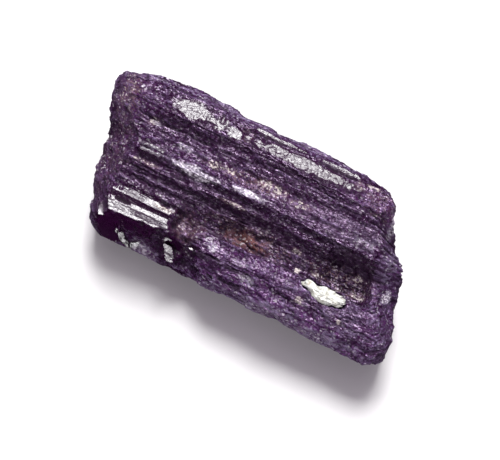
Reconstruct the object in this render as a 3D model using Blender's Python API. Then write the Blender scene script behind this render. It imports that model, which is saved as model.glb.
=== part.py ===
"""A broken prism of black tourmaline that lies on one prism face, with a pale grain in its front ledge.

The prism's long axis is X, its top is +Z and the side with the low ledge is -Y. Sizes in the tables are in
millimetres. The crystal is lofted through its own long edges: each edge is a line through a few points, a
ring of the loft takes one point from every edge, and the faces and steps are what lies between two edges.
"""

import math

import bmesh
import bpy
import numpy as np
from mathutils import Matrix, Vector
from mathutils.geometry import delaunay_2d_cdt

MM = 0.001

# Every long edge of the crystal, in order round it: up the back, over the top to the front, down to the base.
# Each runs from left to right through points (x, y, z) in millimetres, and keeps level past its last ones.
EDGES = {
    "base_back": ((-15, 4.3, 0), (0, 5.0, 0), (13, 4.5, 0)),
    "back_low": ((-16, 6.4, 2.8), (-8, 7.5, 2.6), (4, 7.2, 2.8), (13, 6.6, 2.9)),
    "back_rib": ((-16.6, 7.0, 5.1), (-8, 8.25, 5.1), (4, 7.9, 5.3), (13, 7.0, 5.2)),
    "back_rib_top": ((-16.8, 6.6, 5.5), (-8, 7.75, 5.6), (4, 7.45, 5.8), (13, 6.7, 5.6)),
    "back_wide": (
        (-17.7, 7.1, 8.2), (-14, 8.1, 8.8), (-11, 8.6, 9.0), (-6.4, 8.5, 9.2), (-4.5, 8.1, 9.0),
        (6, 8.2, 9.0), (8, 7.9, 8.9), (12.6, 7.5, 8.6),
    ),
    "back_high": (
        (-17.8, 6.9, 10.2), (-14, 7.5, 11.3), (-11, 7.7, 11.7), (-6, 7.6, 11.8), (-4.5, 7.3, 11.8),
        (6, 7.35, 11.8), (8, 7.2, 11.6), (12.5, 6.8, 11.2),
    ),
    "ridge_rear": (
        (-16, 6.1, 12.3), (-14, 6.5, 12.8), (-11.8, 6.2, 13.1), (6, 6.2, 13.0), (9, 6.1, 12.8),
        (12.6, 5.9, 12.3),
    ),
    "band_rear": (
        (-16, 5.6, 12.2), (-14, 6.0, 12.7), (-11.8, 5.8, 13.0), (-2.6, 5.7, 12.9), (9, 5.7, 12.8),
        (13.0, 5.4, 12.4),
    ),
    "band_front": (
        (-15.6, 4.6, 12.3), (-14, 4.5, 13.0), (-11.5, 4.15, 13.4), (-7.6, 4.1, 13.4), (-4, 4.25, 13.2),
        (-2.4, 4.2, 13.4), (8.8, 4.2, 13.3), (13.6, 4.0, 12.8),
    ),
    "band_foot": (
        (-15.6, 4.2, 11.9), (-14, 4.0, 12.5), (-11.5, 3.85, 12.8), (8.8, 3.85, 12.75), (13.8, 3.6, 12.4),
    ),
    "upper_shelf_rear": (
        (-15, 3.4, 11.8), (-13, 3.1, 12.3), (-8, 3.0, 12.6), (6, 3.05, 12.75), (13.7, 3.0, 12.5),
    ),
    "upper_shelf_groove": ((-15, 3.0, 11.6), (0, 2.75, 12.5), (6, 2.8, 12.3), (13.6, 2.7, 12.1)),
    "upper_shelf_front": (
        (-14.5, 2.4, 11.5), (-12.5, 2.2, 12.2), (0, 2.2, 12.5), (6, 2.25, 12.35), (13.7, 2.1, 12.0),
    ),
    "upper_shelf_foot": (
        (-14.5, 2.0, 11.3), (-12.5, 1.9, 11.8), (0, 1.85, 12.0), (6, 1.85, 12.0), (14.3, 1.8, 11.6),
    ),
    "middle_shelf": ((-13.9, 0.8, 11.4), (-9, 0.8, 11.9), (0, 0.8, 12.05), (8, 0.8, 12.0), (14.6, 0.7, 11.7)),
    "middle_front": (
        (-13.2, -0.3, 11.4), (-9, -0.4, 11.8), (-4, -0.35, 12.0), (2, -0.35, 12.0), (10, -0.55, 12.0),
        (14.7, -0.5, 11.6),
    ),
    "middle_foot": (
        (-13.1, -0.8, 10.8), (-9, -0.85, 11.0), (-2, -0.75, 11.1), (8, -0.8, 11.0), (14.8, -0.75, 10.9),
    ),
    "second_front": (
        (-13.1, -1.6, 10.8), (-9, -1.6, 10.9), (-2, -1.45, 11.0), (8, -1.35, 10.7), (9.6, -1.0, 9.6),
        (13.6, -1.0, 9.6), (14.9, -1.5, 10.4),
    ),
    "second_foot": (
        (-13.1, -1.95, 10.2), (-9, -2.0, 10.2), (-4, -2.0, 10.0), (8, -1.9, 9.6), (9.6, -1.35, 8.2),
        (13.6, -1.4, 8.2), (14.9, -2.1, 10.0),
    ),
    "third_front": (
        (-13.1, -2.6, 10.15), (-9, -2.55, 10.15), (-4, -2.5, 9.9), (4, -2.5, 9.6), (8, -2.4, 9.2),
        (9.6, -2.1, 7.7), (13.6, -2.2, 7.7), (15.0, -2.8, 9.8),
    ),
    "third_foot": (
        (-13.2, -2.9, 9.7), (-9, -2.85, 9.65), (-4, -2.8, 9.3), (0, -2.8, 9.0), (8, -2.9, 8.6),
        (9.6, -2.9, 7.5), (13.8, -3.0, 7.5), (15.1, -3.4, 9.6),
    ),
    "fourth_front": (
        (-13.3, -3.65, 9.7), (-6.55, -3.65, 9.6), (-5.6, -3.5, 8.9), (-3.3, -3.4, 8.6), (8, -3.5, 8.3),
        (9.6, -3.6, 7.5), (13.9, -3.7, 7.6), (15.2, -4.0, 9.4),
    ),
    "fourth_foot": (
        (-13.35, -3.95, 9.25), (-6.55, -3.95, 9.2), (-5.6, -4.0, 8.4), (-3.3, -4.15, 8.3), (8, -4.1, 8.2),
        (9.6, -4.15, 7.8), (14, -4.2, 7.8), (15.4, -4.5, 9.2),
    ),
    "narrow_strip_front": (
        (-13.4, -4.75, 9.35), (-6.55, -4.75, 9.35), (-6.15, -4.7, 8.3), (-4.5, -4.6, 8.0), (-3.3, -4.6, 8.9),
        (0, -4.6, 9.1), (8, -4.55, 9.1), (14, -4.7, 8.9), (16.2, -5.0, 9.1),
    ),
    "narrow_strip_foot": (
        (-13.4, -5.1, 8.9), (-6.55, -5.1, 8.9), (-6.15, -5.2, 8.0), (-4.5, -5.5, 7.8), (-3.3, -5.8, 8.8),
        (8, -6.0, 8.95), (16.8, -6.1, 8.85),
    ),
    "wide_strip_front": (
        (-12.6, -6.5, 9.1), (-6.55, -6.5, 9.05), (-6.15, -6.3, 7.5), (-4.5, -6.2, 7.0), (-3.3, -6.4, 7.9),
        (-2.4, -6.7, 8.6), (8, -6.8, 8.6), (17.5, -6.8, 8.5),
    ),
    "ledge_step_foot": (
        (-12.6, -6.65, 8.6), (-6.55, -6.65, 8.55), (-6.15, -6.45, 7.1), (-4.5, -6.35, 6.6), (-3.3, -6.6, 7.5),
        (-2.4, -6.95, 8.3), (8, -7.05, 8.3), (17.5, -7.0, 8.2),
    ),
    "lower_step_lip": (
        (-12.8, -7.0, 7.2), (-6.55, -7.0, 7.2), (-6.15, -6.6, 6.5), (-4.5, -6.6, 6.2), (-3.3, -6.9, 6.6),
        (-2.4, -7.5, 7.7), (3, -7.8, 7.95), (8, -7.8, 7.9), (17.5, -7.8, 7.7),
    ),
    "lower_step_foot": (
        (-12.8, -7.15, 6.6), (-6.55, -7.15, 6.6), (-6.15, -6.75, 6.25), (-4.5, -6.85, 5.9), (-3.3, -7.1, 5.9),
        (-2.4, -7.7, 7.3), (3, -8.05, 7.65), (8, -8.05, 7.6), (17.5, -8.0, 7.4),
    ),
    "black_face_foot": (
        (-14, -7.3, 5.2), (-6.55, -7.5, 5.3), (-6.15, -7.9, 6.0), (-4.8, -8.0, 5.6), (-4.2, -7.3, 4.9),
        (-3.0, -7.4, 5.2), (-1.8, -8.3, 6.8), (3, -8.55, 7.1), (17.5, -8.5, 6.9),
    ),
    "front_wide": (
        (-14, -8.3, 3.9), (-6.8, -8.35, 4.2), (-5.2, -8.3, 5.0), (-4, -8.1, 4.0), (-2.6, -8.3, 4.6),
        (-1.2, -9.1, 5.5), (1.5, -8.7, 6.0), (4, -8.85, 6.0), (10, -9.05, 6.0), (16, -9.3, 5.7),
    ),
    "front_low": (
        (-14.3, -7.6, 2.2), (-12.5, -7.8, 2.4), (-6, -7.8, 2.4), (0, -8.0, 2.5), (12, -8.2, 2.5),
        (17, -7.9, 2.6),
    ),
    "base_front": ((-14.6, -4.6, 0), (0, -5.3, 0), (16.2, -5.0, 0)),
}

# The loft's stations: each place where an edge breaks off has its own, and the rest are spread evenly.
BREAKS = (-12.0, -6.55, -6.15, -4.5, -3.3, -2.4, 8.0, 9.6, 12.2)
STATION_STEP = 0.5
END_STATIONS = 4
FACE_STEP = 0.8
BASE_STRIPS = 3

# A broken end leans back into the crystal over its knee, and a little under it. The knee's place along X and
# its height both follow y.
LEFT_END = {
    "knee_x": (
        (-8.4, -13.8), (-7.4, -15.1), (-5.75, -15.5), (-3.6, -16.2), (1.2, -16.9), (3.1, -17.7), (6.2, -18.2),
        (8, -17.7),
    ),
    "knee_z": ((-8, 5.5), (-4, 5.8), (1, 6.2), (5, 9.6)),
    "lean_over": 0.72,
    "lean_under": 0.14,
    "seed": 5,
}
RIGHT_END = {
    "knee_x": (
        (-9.4, 16.4), (-8.6, 17.6), (-7.5, 18.2), (-6.4, 18.4), (-3.6, 17.6), (-1.7, 17.2), (0.5, 16.5),
        (3, 15.3), (4.3, 14.1), (5.7, 13.1), (7.5, 11.9),
    ),
    "knee_z": ((-2, 6.5), (0.6, 9.4), (2.2, 9.4), (4.2, 11.6), (7, 12.5)),
    "lean_over": -0.85,
    "lean_under": -0.12,
    "seed": 9,
}
END_POINT_SPACING, END_POINT_JITTER = 1.0, 0.34
END_RELIEF, END_LUMP = 0.42, 1.7
END_GRIT, END_GRIT_SIZE = 0.17, 0.75
RAGGED_EDGE = 0.25

# Relief that follows the prism: thin splinters, each with a height of its own, and rounder lumps over them.
SPLINTER_HEIGHT, SPLINTER_WIDTH, SPLINTER_LENGTH, SPLINTER_SEED = 0.17, 0.62, 3.6, 21
LUMP_HEIGHT, LUMP_SIZE, LUMP_SEED = 0.16, 2.3, 33
RUBBLE_SIZE, RUBBLE_SEED = 0.75, 12

# Crushed places as (x, y, half length, half width, height).
RUBBLE = (
    (-4.6, -4.9, 2.0, 1.6, 0.36),
    (1.0, -3.0, 3.4, 1.1, 0.30),
    (11.2, -2.9, 3.0, 1.6, 0.36),
    (-1.6, 1.2, 5.0, 1.0, 0.26),
    (-15.6, 4.6, 1.9, 2.2, 0.26),
    (11.8, 4.6, 2.2, 1.6, 0.22),
    (9.5, -7.4, 9.0, 1.7, 0.14),
)

# The block at the front of the left end, whose strips and black face stay flat.
POLISHED_X, POLISHED_Y = (-13.2, -6.3), (-9.0, -3.8)
POLISHED_SHARE = 0.15

GRAIN_CENTRE = (10.45, -5.15, 8.72)
GRAIN_HALF_SIZE = (2.35, 0.74, 0.52)
GRAIN_TURN_DEG = 3.0
GRAIN_WAIST_X, GRAIN_WAIST_WIDTH, GRAIN_WAIST_DEPTH = -1.1, 0.5, 0.28
GRAIN_ROUGHNESS, GRAIN_SEED = 0.09, 4
GRAIN_SEGMENTS, GRAIN_RINGS = 16, 12
GRAIN_GAP = 0.3

TOURMALINE_COLOUR = (0.030, 0.020, 0.036, 1.0)
GRAIN_COLOUR = (0.72, 0.72, 0.62, 1.0)


def clear_scene():
    for obj in list(bpy.data.objects):
        bpy.data.objects.remove(obj, do_unlink=True)


def smooth(t):
    """An even rise from 0 to 1 as t goes from 0 to 1, level before and after."""
    t = np.clip(t, 0, 1)
    return t * t * (3 - 2 * t)


def lattice(u, v, seed, blend_u=smooth, blend_v=smooth):
    """Values from -1 to 1 at the points (u, v), blended between random values at whole numbers."""
    cells = 64
    table = np.random.default_rng(seed).uniform(-1, 1, (cells, cells))
    iu, iv = np.floor(u).astype(int), np.floor(v).astype(int)
    fu, fv = blend_u(u - iu), blend_v(v - iv)
    low = table[iu % cells, iv % cells] * (1 - fu) + table[(iu + 1) % cells, iv % cells] * fu
    high = table[iu % cells, (iv + 1) % cells] * (1 - fu) + table[(iu + 1) % cells, (iv + 1) % cells] * fu
    return low * (1 - fv) + high * fv


def no_blend(t):
    """Keeps one value over the whole cell."""
    return t * 0


def late_blend(t):
    """Keeps one value over most of the cell and steps to the next near its end."""
    return smooth((t - 0.8) / 0.2)


def end_x(end, y, z):
    """Where the plane of a broken end stands over (y, z), before its own roughness."""
    knee_x = np.interp(y, *np.array(end["knee_x"]).T)
    knee_z = np.interp(y, *np.array(end["knee_z"]).T)
    over, under = np.maximum(z - knee_z, 0), np.maximum(knee_z - z - 1.5, 0)
    return knee_x + end["lean_over"] * over + end["lean_under"] * under


def core_stations():
    """The stations between the two ends."""
    runs = []
    for start, stop in zip(BREAKS, BREAKS[1:]):
        steps = math.ceil((stop - start) / STATION_STEP - 0.01)
        runs.append(np.linspace(start, stop, steps + 1)[:-1])
    return np.concatenate(runs + [[BREAKS[-1]]])


def edge_lines():
    """The edges as an array of (edge, station, xyz). Past the core, each runs to its own place on its end."""
    core = core_stations()
    spread = np.random.default_rng(LEFT_END["seed"])
    ragged = spread.uniform(-RAGGED_EDGE, RAGGED_EDGE, (len(EDGES), 2))
    lines = []
    for points, (ragged_left, ragged_right) in zip(EDGES.values(), ragged):
        x, y, z = np.array(points, float).T
        last_left = end_x(LEFT_END, y[0], z[0]) + ragged_left
        last_right = end_x(RIGHT_END, y[-1], z[-1]) + ragged_right
        left = np.linspace(last_left, core[0], END_STATIONS + 1)[:-1]
        right = np.linspace(core[-1], last_right, END_STATIONS + 1)[1:]
        at = np.concatenate([left, core, right])
        lines.append(np.stack([at, np.interp(at, x, y), np.interp(at, x, z)], axis=1))
    return np.array(lines)


def face_lines(edges):
    """The edges with more lines between them where a face is wide, as (line, station, xyz)."""
    lines = []
    following = np.roll(edges, -1, axis=0)
    for k, (this, after) in enumerate(zip(edges, following)):
        width = np.linalg.norm((after - this)[:, 1:], axis=1).mean()
        count = BASE_STRIPS if k == len(edges) - 1 else max(1, round(width / FACE_STEP))
        lines += [this + (after - this) * step / count for step in range(count)]
    return np.array(lines)


def rubble_height(lines):
    """How much rubble there is at each point, in millimetres."""
    x, y, z = lines[..., 0], lines[..., 1], lines[..., 2]
    height = np.zeros_like(x)
    for at_x, at_y, half_length, half_width, amount in RUBBLE:
        away = np.hypot((x - at_x) / half_length, (y - at_y) / half_width)
        height = np.maximum(height, amount * smooth(1.6 - away) * (z > 5.5))
    return height


def relief_share(lines):
    """The share of the splinters and lumps that a point takes: none at the base, little on the flat block."""
    x, y, z = lines[..., 0], lines[..., 1], lines[..., 2]
    within_x = (x > POLISHED_X[0]) & (x < POLISHED_X[1])
    within_y = (y > POLISHED_Y[0]) & (y < POLISHED_Y[1])
    return np.clip(z / 2.0, 0, 1) * np.where(within_x & within_y & (z > 3), POLISHED_SHARE, 1.0)


def weathered(lines):
    """The lines moved out and in by splinters, lumps and rubble, each in the plane of its own ring."""
    steps = np.linalg.norm(np.diff(lines[:, :, 1:].mean(axis=1), axis=0), axis=1)
    around = np.concatenate([[0], np.cumsum(steps)])[:, None] + 0 * lines[..., 0]
    x, y, z = lines[..., 0], lines[..., 1], lines[..., 2]
    row = np.floor(around / SPLINTER_WIDTH)
    shifted = x / SPLINTER_LENGTH + 0.37 * row
    splinters = lattice(row, shifted, SPLINTER_SEED, no_blend, late_blend)
    lumps = lattice(around / LUMP_SIZE, x / LUMP_SIZE, LUMP_SEED)
    rubble = lattice(around / RUBBLE_SIZE, x / RUBBLE_SIZE, RUBBLE_SEED)
    height = (SPLINTER_HEIGHT * splinters + LUMP_HEIGHT * lumps) * relief_share(lines)
    height += rubble * rubble_height(lines)
    outward = np.stack([0 * y, y / 9.0, (z - 5.0) / 6.0], axis=-1)
    outward /= np.linalg.norm(outward, axis=-1, keepdims=True)
    return lines + outward * height[..., None]


def inside(outline, points):
    """Which of the points lie inside the closed outline: an odd number of its sides lies to one side of them."""
    start, stop = outline, np.roll(outline, -1, axis=0)
    y, z = points[:, :1], points[:, 1:]
    spans = (start[:, 1] > z) != (stop[:, 1] > z)
    rise = np.where(spans, stop[:, 1] - start[:, 1], 1.0)
    crossing = start[:, 0] + (z - start[:, 1]) / rise * (stop[:, 0] - start[:, 0])
    return (spans & (y < crossing)).sum(axis=1) % 2 == 1


def end_points(rim, end):
    """Scattered points on a broken end inside its rim, and clear of it, as (point, xyz)."""
    outline = rim[:, 1:]
    low, high = outline.min(axis=0), outline.max(axis=0)
    rows = [np.arange(start, stop, END_POINT_SPACING) for start, stop in zip(low, high)]
    points = np.stack(np.meshgrid(*rows), axis=-1).reshape(-1, 2)
    points += np.random.default_rng(end["seed"]).uniform(-END_POINT_JITTER, END_POINT_JITTER, points.shape)
    clearance = np.linalg.norm(points[:, None] - outline[None], axis=2).min(axis=1)
    y, z = points[inside(outline, points) & (clearance > 0.5 * END_POINT_SPACING)].T
    rough = END_RELIEF * lattice(y / END_LUMP, z / END_LUMP, end["seed"])
    rough += END_GRIT * lattice(y / END_GRIT_SIZE, z / END_GRIT_SIZE, end["seed"] + 1)
    return np.stack([end_x(end, y, z) + rough, y, z], axis=1)


def add_end(bm, loop, rim, end):
    """Closes one end of the loft with a fracture face: triangles between the rim and the scattered points."""
    points = end_points(rim, end)
    flat = [Vector(point[1:]) for point in np.concatenate([rim, points])]
    triangles = delaunay_2d_cdt(flat, [], [list(range(len(rim)))], 1, 1e-6)[2]
    corners = loop + [bm.verts.new(point * MM) for point in points]
    for triangle in triangles:
        bm.faces.new([corners[k] for k in triangle])


def crystal_mesh():
    """The crystal as one closed mesh: a loft through its rings, with a fracture face over each end."""
    lines = weathered(face_lines(edge_lines()))
    bm = bmesh.new()
    loops = [[bm.verts.new(point * MM) for point in lines[:, k]] for k in range(lines.shape[1])]
    for this, after in zip(loops, loops[1:]):
        for k in range(len(this)):
            m = (k + 1) % len(this)
            bm.faces.new((this[k], this[m], after[m], after[k]))
    add_end(bm, loops[0], lines[:, 0], LEFT_END)
    add_end(bm, loops[-1], lines[:, -1], RIGHT_END)
    bmesh.ops.recalc_face_normals(bm, faces=bm.faces)
    mesh = bpy.data.meshes.new("tourmaline_crystal")
    bm.to_mesh(mesh)
    bm.free()
    return mesh


def grain_mesh(name, swell):
    """A long lens with a waist between its small left lobe and its large right one, swollen all round."""
    bm = bmesh.new()
    along_x = Matrix.Rotation(math.radians(90), 4, "Y")
    bmesh.ops.create_uvsphere(
        bm, u_segments=GRAIN_SEGMENTS, v_segments=GRAIN_RINGS, radius=1.0, matrix=along_x
    )
    for vertex in bm.verts:
        unit = np.array(vertex.co)
        x = unit[0] * GRAIN_HALF_SIZE[0]
        waist = 1 - GRAIN_WAIST_DEPTH * math.exp(-(((x - GRAIN_WAIST_X) / GRAIN_WAIST_WIDTH) ** 2))
        lump = lattice(unit[0] * 4 + 9, unit[1] * 3 + unit[2] * 2 + 9, GRAIN_SEED)
        rough = 1 + GRAIN_ROUGHNESS * float(lump)
        half = np.array(GRAIN_HALF_SIZE) * (1, waist, waist) * rough
        vertex.co = Vector(unit * (half + swell)) * MM
    bmesh.ops.transform(bm, matrix=Matrix.Rotation(math.radians(GRAIN_TURN_DEG), 4, "Z"), verts=bm.verts)
    mesh = bpy.data.meshes.new(name)
    bm.to_mesh(mesh)
    bm.free()
    return mesh


def material(name, colour, roughness):
    made = bpy.data.materials.new(name)
    made.use_nodes = True
    shader = made.node_tree.nodes["Principled BSDF"]
    shader.inputs["Base Color"].default_value = colour
    shader.inputs["Roughness"].default_value = roughness
    shader.inputs["Metallic"].default_value = 0.0
    return made


def add_object(name, mesh, location, finish=None):
    obj = bpy.data.objects.new(name, mesh)
    obj.location = location
    if finish:
        mesh.materials.append(finish)
    bpy.context.scene.collection.objects.link(obj)
    return obj


def to_origin(mesh):
    """How far the crystal has to move for its base to stand at z 0, centred on the origin."""
    points = np.array([v.co for v in mesh.vertices])
    low, high = points.min(axis=0), points.max(axis=0)
    return Vector((-(low[0] + high[0]) / 2, -(low[1] + high[1]) / 2, -low[2]))


def main():
    clear_scene()
    mesh = crystal_mesh()
    shift = to_origin(mesh)
    tourmaline = material("tourmaline", TOURMALINE_COLOUR, 0.25)
    pale_mineral = material("pale_mineral", GRAIN_COLOUR, 0.55)
    crystal = add_object("tourmaline_crystal", mesh, shift, tourmaline)
    grain_at = shift + Vector(GRAIN_CENTRE) * MM
    add_object("pale_grain", grain_mesh("pale_grain", 0.0), grain_at, pale_mineral)

    socket = add_object("grain_socket_cutter", grain_mesh("grain_socket_cutter", GRAIN_GAP), grain_at)
    socket.hide_render = True
    socket.display_type = "WIRE"
    cut = crystal.modifiers.new("grain_socket", "BOOLEAN")
    cut.operation = "DIFFERENCE"
    cut.object = socket


main()
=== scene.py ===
"""Dresses the broken prism of black tourmaline and the pale grain in its ledge, on a pale floor.

Sizes in the tables are in millimetres, in the crystal's own frame: its long axis is X, its top is +Z and the
side with the low ledge is -Y. The skin is a grid of lines that run along the crystal and stations that cut
across it. It is moved to where the CAD crystal stands when it is made a mesh.
"""

import logging
import math
from dataclasses import dataclass, field
from enum import Enum
from typing import Callable, NamedTuple, Sequence, Union

import bpy
import numpy as np
from mathutils import Matrix, Vector


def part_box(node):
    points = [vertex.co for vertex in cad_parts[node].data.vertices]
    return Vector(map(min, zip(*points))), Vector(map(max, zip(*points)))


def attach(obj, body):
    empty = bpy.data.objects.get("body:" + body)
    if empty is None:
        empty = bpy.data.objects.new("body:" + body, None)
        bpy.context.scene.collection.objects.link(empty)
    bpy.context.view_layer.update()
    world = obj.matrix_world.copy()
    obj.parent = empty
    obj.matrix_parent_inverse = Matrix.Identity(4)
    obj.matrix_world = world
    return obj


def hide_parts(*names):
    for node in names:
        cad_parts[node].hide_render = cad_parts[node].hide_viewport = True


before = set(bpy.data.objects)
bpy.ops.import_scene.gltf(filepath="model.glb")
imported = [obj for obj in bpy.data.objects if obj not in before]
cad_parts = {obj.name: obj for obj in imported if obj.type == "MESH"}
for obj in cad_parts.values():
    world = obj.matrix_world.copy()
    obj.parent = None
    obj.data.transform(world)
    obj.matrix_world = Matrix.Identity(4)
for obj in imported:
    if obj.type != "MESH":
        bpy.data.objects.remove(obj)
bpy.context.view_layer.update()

MM = 0.001
# The slopes in x and y of a face that mirrors the front light into the camera.
FLASH_X, FLASH_Y = -0.19, 0.68
# How a cut wanders to its sides, as how far, over what length, the row of noise and the seed.
CUT_WANDER = ((0.09, 0.7, 3, 61), (0.03, 0.18, 7, 64))

Array = np.ndarray
Vec = tuple[float, float, float]
Colour = tuple[float, float, float, float]
Line = tuple[Vec, ...]
Masks = dict[str, np.ndarray]
Socket = bpy.types.NodeSocket
Number = Union["Value", float]

log = logging.getLogger("tourmaline")


class Patch(NamedTuple):
    """A soft-edged oval, seen from above: its middle, half its length, half its width, and how much."""

    x: float
    y: float
    half_length: float
    half_width: float
    amount: float


class Cut(NamedTuple):
    """A thin cut, seen from above: its two ends, its depth and its width."""

    x_start: float
    y_start: float
    x_stop: float
    y_stop: float
    depth: float
    width: float


class Facet(NamedTuple):
    """A flat cleaved face: its middle, half its size, turn in degrees, height, and slopes in x and y."""

    x: float
    y: float
    half_length: float
    half_width: float
    turn: float
    height: float
    slope_x: float
    slope_y: float


class PlateLayer(NamedTuple):
    """Thin broken plates: size, seed, tilt, drift, and their share on whole and on crushed crystal."""

    height: float
    length: float
    width: float
    seed: int
    tilt: float
    drift: float
    whole: float
    crushed: float


class Crumbs(NamedTuple):
    """Broken cells in a finish: their size in millimetres, and how much longer they are along each axis."""

    size: float
    stretch: Vec


def each(kind: type, *rows: Sequence[float]) -> tuple:
    """One patch, cut, facet or layer for each row of numbers."""
    return tuple(kind(*row) for row in rows)


# ---- Noise ----


def smooth(t: Array) -> Array:
    """An even rise from 0 to 1 as t goes from 0 to 1, level before and after: 3 t squared less 2 t cubed."""
    t = np.clip(t, 0, 1)
    return t * t * (3 - 2 * t)


def no_blend(t: Array) -> Array:
    """Keeps one value over the whole cell."""
    return t * 0


def late_blend(t: Array) -> Array:
    """Keeps one value over most of the cell and steps to the next near its end."""
    return smooth((t - 0.8) / 0.2)


def lattice(u: Array, v: Array, seed: int, blend_u: Callable = smooth, blend_v: Callable = smooth) -> Array:
    """Values from -1 to 1, blended between random values that stand at whole numbers of u and v.

    Args:
        u: First coordinate, in cells.
        v: Second coordinate, in cells.
        seed: Picks the random values.
        blend_u: How the value goes over to the next cell along u.
        blend_v: How the value goes over to the next cell along v.

    Returns:
        One value for each point.
    """
    cells = 64
    values = np.random.default_rng(seed).uniform(-1, 1, (cells, cells))
    iu, iv = np.floor(u).astype(int), np.floor(v).astype(int)
    fu, fv = blend_u(u - iu), blend_v(v - iv)
    now, then = iu % cells, (iu + 1) % cells
    low, high = (values[now, row % cells] * (1 - fu) + values[then, row % cells] * fu for row in (iv, iv + 1))
    return low * (1 - fv) + high * fv


def plates(along: Array, across: Array, seed: int, tilt: float = 1.0) -> Array:
    """Flat broken plates: each point belongs to the nearest of a jittered grid of plate middles.

    Height = the plate's own height + its two slopes times the distance from its middle.

    Args:
        along: First coordinate, in plate lengths.
        across: Second coordinate, in plate widths.
        seed: Picks the plates.
        tilt: How steep the plates are, as a share of their height.

    Returns:
        The height from about -1 to 1.
    """
    cells, jitter = 128, 0.42
    values = np.random.default_rng(seed).uniform(-1, 1, (cells, cells, 5))
    i, j = np.floor(along).astype(int), np.floor(across).astype(int)
    nearest, height = np.full(along.shape, 9.0), np.zeros(along.shape)
    for di in (-1, 0, 1):
        for dj in (-1, 0, 1):
            cell = values[(i + di) % cells, (j + dj) % cells]
            off_along = along - (i + di + 0.5 + jitter * cell[..., 0])
            off_across = across - (j + dj + 0.5 + jitter * cell[..., 1])
            away = np.hypot(off_along, off_across)
            own = cell[..., 2] + tilt * (cell[..., 3] * off_along + cell[..., 4] * off_across)
            height = np.where(away < nearest, own, height)
            nearest = np.minimum(nearest, away)
    return height


def spread(patches: Sequence[Patch], points: Array, wander: Array | float, blur: float = 0.4) -> Array:
    """How much of any of the patches there is at each point. Their edges wander with the noise given.

    Share = an even fall from 1 to 0 as the oval distance from the middle, plus the noise, goes from
    1 less the blur to 1 and the blur.

    Args:
        patches: The patches.
        points: The points as (..., xyz).
        wander: Noise that moves the edges, as a share of a patch's size.
        blur: How soft the edges are, as a share of a patch's size.

    Returns:
        One share for each point.
    """
    share = np.zeros(points.shape[:-1])
    for patch in patches:
        across = (points[..., 1] - patch.y) / patch.half_width
        away = np.hypot((points[..., 0] - patch.x) / patch.half_length, across) + wander
        share = np.maximum(share, patch.amount * smooth((1 + blur - away) / (2 * blur)))
    return share


def carved(cuts: Sequence[Cut], points: Array) -> Array:
    """How deep the cuts are: each cut's depth, falling off as a bell over its width on both sides.

    A cut wanders by lattice noise along it, fades out over 0.25 mm at its ends, and more noise breaks it up.

    Args:
        cuts: The cuts.
        points: The points as (..., xyz).

    Returns:
        One depth for each point.
    """
    depth = np.zeros(points.shape[:-1])
    for cut in cuts:
        run_x, run_y = cut.x_stop - cut.x_start, cut.y_stop - cut.y_start
        length = math.hypot(run_x, run_y)
        x, y = points[..., 0] - cut.x_start, points[..., 1] - cut.y_start
        along, across = (x * run_x + y * run_y) / length, (y * run_x - x * run_y) / length
        for far, over, row, seed in CUT_WANDER:
            across = across + far * lattice(along / over, along * 0 + cut.y_start * row, seed)
        within = smooth(along / 0.25) * smooth((length - along) / 0.25)
        within = within * smooth(1.1 + 1.4 * lattice(along / 0.5, along * 0 + cut.y_start * 5, 65))
        depth = np.maximum(depth, cut.depth * within * np.exp(-((across / cut.width) ** 2)))
    return depth


def cleave(facets: Sequence[Facet], points: Array) -> tuple[Array, Array]:
    """Flattens the surface to each facet inside its turned rectangle, whose sides lattice noise makes ragged.

    Height = the old height, going over to the facet's plane within a tenth of its size from its sides.

    Args:
        facets: The facets.
        points: The points as (..., xyz).

    Returns:
        The new heights, and from 0 to 1 how much of a facet there is at each point.
    """
    z = points[..., 2]
    share, ragged = np.zeros_like(z), 0.14 * lattice(points[..., 0] / 0.28, points[..., 1] / 0.28, 63)
    for facet in facets:
        cos, sin = math.cos(math.radians(facet.turn)), math.sin(math.radians(facet.turn))
        x, y = points[..., 0] - facet.x, points[..., 1] - facet.y
        plane = facet.height + facet.slope_x * x + facet.slope_y * y
        along, across = np.abs(x * cos + y * sin), np.abs(y * cos - x * sin)
        edge = np.maximum(along / facet.half_length, across / facet.half_width) + ragged
        inside = smooth((1.1 - edge) / 0.2) * smooth((1.5 - np.abs(plane - z)) / 0.2)
        z = z + (plane - z) * inside
        share = np.maximum(share, inside)
    return z, share


# ---- Surfaces ----


def hollowness(rows: Array, reach: int) -> Array:
    """How far the surface lies under the mean of its neighbours on the grid, less than 0 where it is over it.

    Args:
        rows: Points on a grid as (row, column, xyz), closed round the columns.
        reach: How many grid steps away the neighbours are.

    Returns:
        One way in millimetres for each point.
    """
    padded = np.concatenate([rows[:1]] * reach + [rows] + [rows[-1:]] * reach)
    before, after = padded[: -2 * reach], padded[2 * reach :]
    left, right = np.roll(rows, reach, axis=1), np.roll(rows, -reach, axis=1)
    normal = np.cross(right - left, after - before)
    normal /= np.maximum(np.linalg.norm(normal, axis=-1, keepdims=True), 1e-9)
    mean = (before + after + 2 * left + 2 * right) / 6
    return ((mean - rows) * normal).sum(axis=-1)


def closed_faces(rows: int, around: int) -> list[list[int]]:
    """The faces of a closed skin whose points are counted row by row, and then the pole at each end.

    Quads join each row to the next, and a fan of triangles joins the first and last rows to their poles.

    Args:
        rows: How many rows there are.
        around: How many points a row has.

    Returns:
        The corners of each face.
    """
    start = np.arange(rows - 1)[:, None] * around + np.arange(around)
    turned = np.roll(start, -1, axis=1)
    quads = np.stack([start, turned, turned + around, start + around], axis=-1).reshape(-1, 4)
    first, pole = np.arange(around), np.full(around, rows * around)
    last = (rows - 1) * around + first
    first_fan = np.stack([pole, np.roll(first, -1), first], axis=1)
    last_fan = np.stack([pole + 1, last, np.roll(last, -1)], axis=1)
    return quads.tolist() + first_fan.tolist() + last_fan.tolist()


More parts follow.
